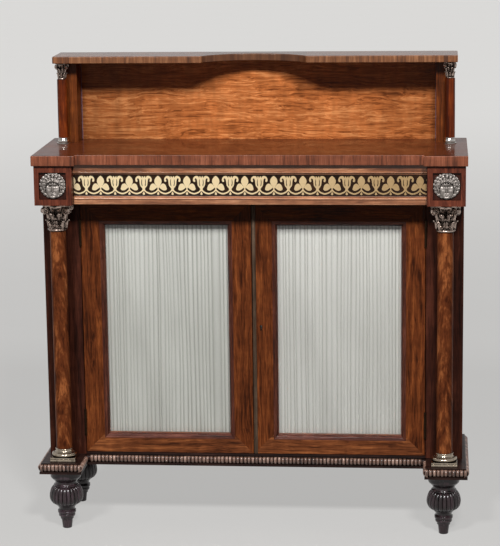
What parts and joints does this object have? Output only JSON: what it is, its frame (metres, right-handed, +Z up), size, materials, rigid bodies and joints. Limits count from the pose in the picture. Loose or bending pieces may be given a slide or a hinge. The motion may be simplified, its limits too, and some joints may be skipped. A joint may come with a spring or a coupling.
{
  "type": "chiffonier",
  "caption": "Regency style side cabinet with glazed silk-backed doors, frieze drawer, free columns, turned feet and a shelf gallery.",
  "frame": {"origin": "on the floor, under the middle of the cabinet, half way between its front and its back", "axes": "+Z up, +Y from the front to the back, +X to the right seen from the front"},
  "size_m": [1.0976, 0.33, 1.204],
  "materials": {
    "rosewood": "french polished rosewood veneer",
    "rosewood_dark": "polished, dark",
    "carcass_pine": "bare, darkened with age",
    "silvered_mounts": "worn silvered casting with dark hollows",
    "brass": "old lacquered brass",
    "lock_steel": "old iron",
    "glass": "clear",
    "silk": "pleated pale green silk"
  },
  "bodies": {
    "carcass": {"back_boards": "carcass_pine", "base_frame": "rosewood_dark", "base_gadroons": "rosewood_dark", "carcass_floor": "carcass_pine", "carcass_sides": "rosewood", "column_bases": "brass", "column_capitals": "silvered_mounts", "column_left": "rosewood", "column_right": "rosewood", "corner_block_left": "rosewood", "corner_block_right": "rosewood", "drawer_guides": "carcass_pine", "dust_board": "carcass_pine", "frieze_rail": "rosewood_dark", "front_foot_left": "rosewood_dark", "front_foot_right": "rosewood_dark", "gallery_back": "rosewood", "gallery_capitals": "silvered_mounts", "gallery_column_bases": "brass", "gallery_columns": "rosewood", "gallery_shelf": "rosewood", "gallery_sides": "rosewood", "hinge_leaves_fixed": "brass", "hinge_pins": "brass", "hinge_screws_pilasters": "brass", "inner_shelf": "carcass_pine", "main_top": "rosewood", "mask_mount_left": "silvered_mounts", "mask_mount_right": "silvered_mounts", "pilasters": "rosewood", "rear_feet": "rosewood_dark", "shelf_battens": "carcass_pine", "top_rails": "carcass_pine"},
    "left_door": {"left_door_frame": "rosewood", "left_door_glass": "glass", "left_door_hinge_leaves": "brass", "left_door_hinge_screws": "brass", "left_door_moulding": "rosewood_dark", "left_door_silk": "silk", "left_door_silk_rods": "brass", "bolt_staples": "brass"},
    "right_door": {"right_door_frame": "rosewood", "right_door_glass": "glass", "right_door_hinge_leaves": "brass", "right_door_hinge_screws": "brass", "right_door_moulding": "rosewood_dark", "right_door_silk": "silk", "right_door_silk_rods": "brass", "astragal": "brass", "keyhole_liner": "brass", "lock_case": "lock_steel"},
    "drawer": {"frieze_drawer_front": "rosewood", "brass_inlay": "brass", "drawer_sides": "carcass_pine", "drawer_back": "carcass_pine", "drawer_bottom": "carcass_pine"},
    "lock_bolt": {"lock_bolt": "lock_steel"},
    "top_bolt": {"top_door_bolt": "brass"},
    "bottom_bolt": {"bottom_door_bolt": "brass"}
  },
  "joints": [
    {"name": "left_door_hinge", "type": "hinge", "parent": "carcass", "child": "left_door", "pos_m": [-0.4372, -0.0682, 0.519], "axis": [0, 0, -1], "range_deg": [0, 95]},
    {"name": "right_door_hinge", "type": "hinge", "parent": "carcass", "child": "right_door", "pos_m": [0.4372, -0.0682, 0.519], "axis": [0, 0, 1], "range_deg": [0, 95]},
    {"name": "frieze_drawer_slide", "type": "slide", "parent": "carcass", "child": "drawer", "axis": [0, -1, 0], "range_m": [0, 0.18]},
    {"name": "lock_bolt_slide", "type": "slide", "parent": "right_door", "child": "lock_bolt", "axis": [-1, 0, 0], "range_m": [0, 0.006]},
    {"name": "top_bolt_slide", "type": "slide", "parent": "left_door", "child": "top_bolt", "axis": [0, 0, 1], "range_m": [0, 0.008]},
    {"name": "bottom_bolt_slide", "type": "slide", "parent": "left_door", "child": "bottom_bolt", "axis": [0, 0, -1], "range_m": [0, 0.008]}
  ]
}
